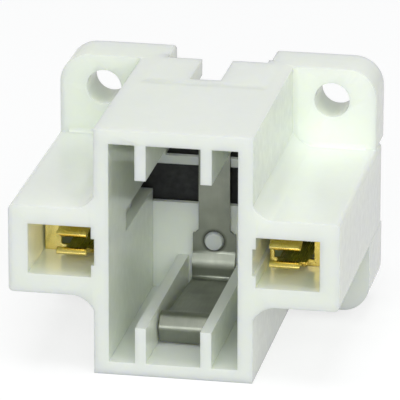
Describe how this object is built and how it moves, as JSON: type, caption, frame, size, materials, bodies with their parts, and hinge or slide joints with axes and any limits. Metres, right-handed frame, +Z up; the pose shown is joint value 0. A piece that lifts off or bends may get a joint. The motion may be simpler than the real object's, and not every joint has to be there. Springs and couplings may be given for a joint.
{
  "type": "compact fluorescent lamp holder",
  "caption": "White moulded holder for a plug-in compact fluorescent lamp, with an open lamp well, side ears with brass pin contacts, a steel retention spring and a rear fixing flange.",
  "frame": {"origin": "midpoint of the two fixing holes on the rear fixing face", "axes": "+X to the right seen from the front, -Y out of the lamp well towards the lamp, +Z up towards the fixing flange"},
  "size_m": [0.0356, 0.031, 0.0276],
  "materials": {
    "white_plastic": "satin white thermoplastic moulding",
    "insulating_plate": "matt dark insulating sheet",
    "contact_brass": "bright rolled brass strip",
    "spring_steel": "rolled stainless spring strip"
  },
  "bodies": {
    "root": {"housing": "white_plastic", "rear_plate": "insulating_plate", "contact_left": "contact_brass", "contact_right": "contact_brass", "clamp_spring_left": "spring_steel", "clamp_spring_right": "spring_steel", "retention_spring": "spring_steel"}
  },
  "joints": []
}
